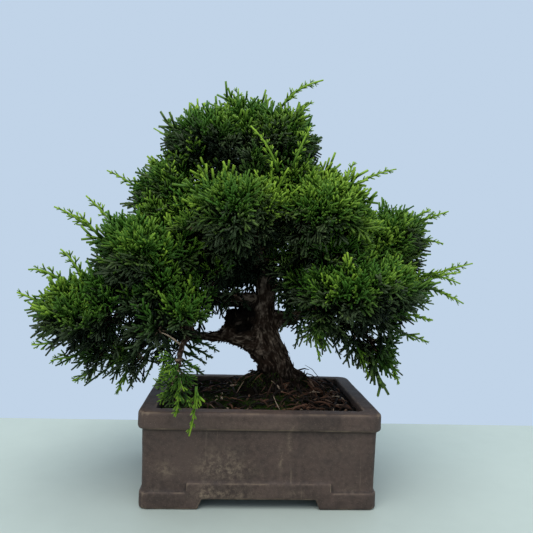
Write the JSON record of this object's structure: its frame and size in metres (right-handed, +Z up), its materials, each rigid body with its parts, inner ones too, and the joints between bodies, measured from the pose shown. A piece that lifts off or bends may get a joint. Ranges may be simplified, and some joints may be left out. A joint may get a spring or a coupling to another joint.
{
  "type": "potted bonsai tree",
  "caption": "Juniper bonsai with a leaning trunk, layered foliage pads and trailing shoots, rooted in mossy soil in a rectangular unglazed stoneware pot on feet",
  "frame": {"origin": "on the surface the pot stands on, under the middle of the whole plant's bounding box", "axes": "+X to the tree's right as seen from its front and along its longest side, +Y away from the front, +Z up"},
  "size_m": [0.4142, 0.2534, 0.3843],
  "materials": {
    "pot": "unglazed stoneware, matt, slightly scuffed",
    "soil": "damp dark bonsai soil with grit and litter",
    "bark": "fibrous flaking bark, dull",
    "foliage": "scale-leaf juniper shoots, soft sheen, lighter at the tips",
    "moss": "short dense moss",
    "dead_twig": "dry reddish-brown twig",
    "drain_mesh": "moulded black mesh"
  },
  "bodies": {
    "root": {"drain_screen_left": "drain_mesh", "drain_screen_right": "drain_mesh", "fallen_twig_front": "dead_twig", "fallen_twig_left": "dead_twig", "fallen_twig_right": "dead_twig", "foliage_back_centre": "foliage", "foliage_back_left": "foliage", "foliage_back_left_low": "foliage", "foliage_back_right": "foliage", "foliage_back_right_low": "foliage", "foliage_centre_droop": "foliage", "foliage_crown_left": "foliage", "foliage_crown_right": "foliage", "foliage_front_centre": "foliage", "foliage_front_hang": "foliage", "foliage_inner": "foliage", "foliage_left_droop": "foliage", "foliage_left_far": "foliage", "foliage_left_mid": "foliage", "foliage_left_upper": "foliage", "foliage_right_droop": "foliage", "foliage_right_far": "foliage", "foliage_right_low": "foliage", "foliage_right_upper": "foliage", "foliage_shoulder_left": "foliage", "limb_back_centre": "bark", "limb_back_left": "bark", "limb_back_left_low": "bark", "limb_back_right": "bark", "limb_back_right_low": "bark", "limb_centre_droop": "bark", "limb_crown_left": "bark", "limb_front_centre": "bark", "limb_front_hang": "bark", "limb_inner": "bark", "limb_left_droop": "bark", "limb_left_low": "bark", "limb_left_mid": "bark", "limb_left_upper": "bark", "limb_right_droop": "bark", "limb_right_far": "bark", "limb_right_low": "bark", "limb_right_upper": "bark", "limb_shoulder_left": "bark", "moss_front": "moss", "moss_left": "moss", "moss_right": "moss", "pot": "pot", "shoot_apex": "foliage", "shoot_crown_tip": "foliage", "shoot_left_high": "foliage", "shoot_left_long": "foliage", "shoot_right_high": "foliage", "shoot_right_long": "foliage", "soil": "soil", "trunk": "bark"}
  },
  "joints": []
}
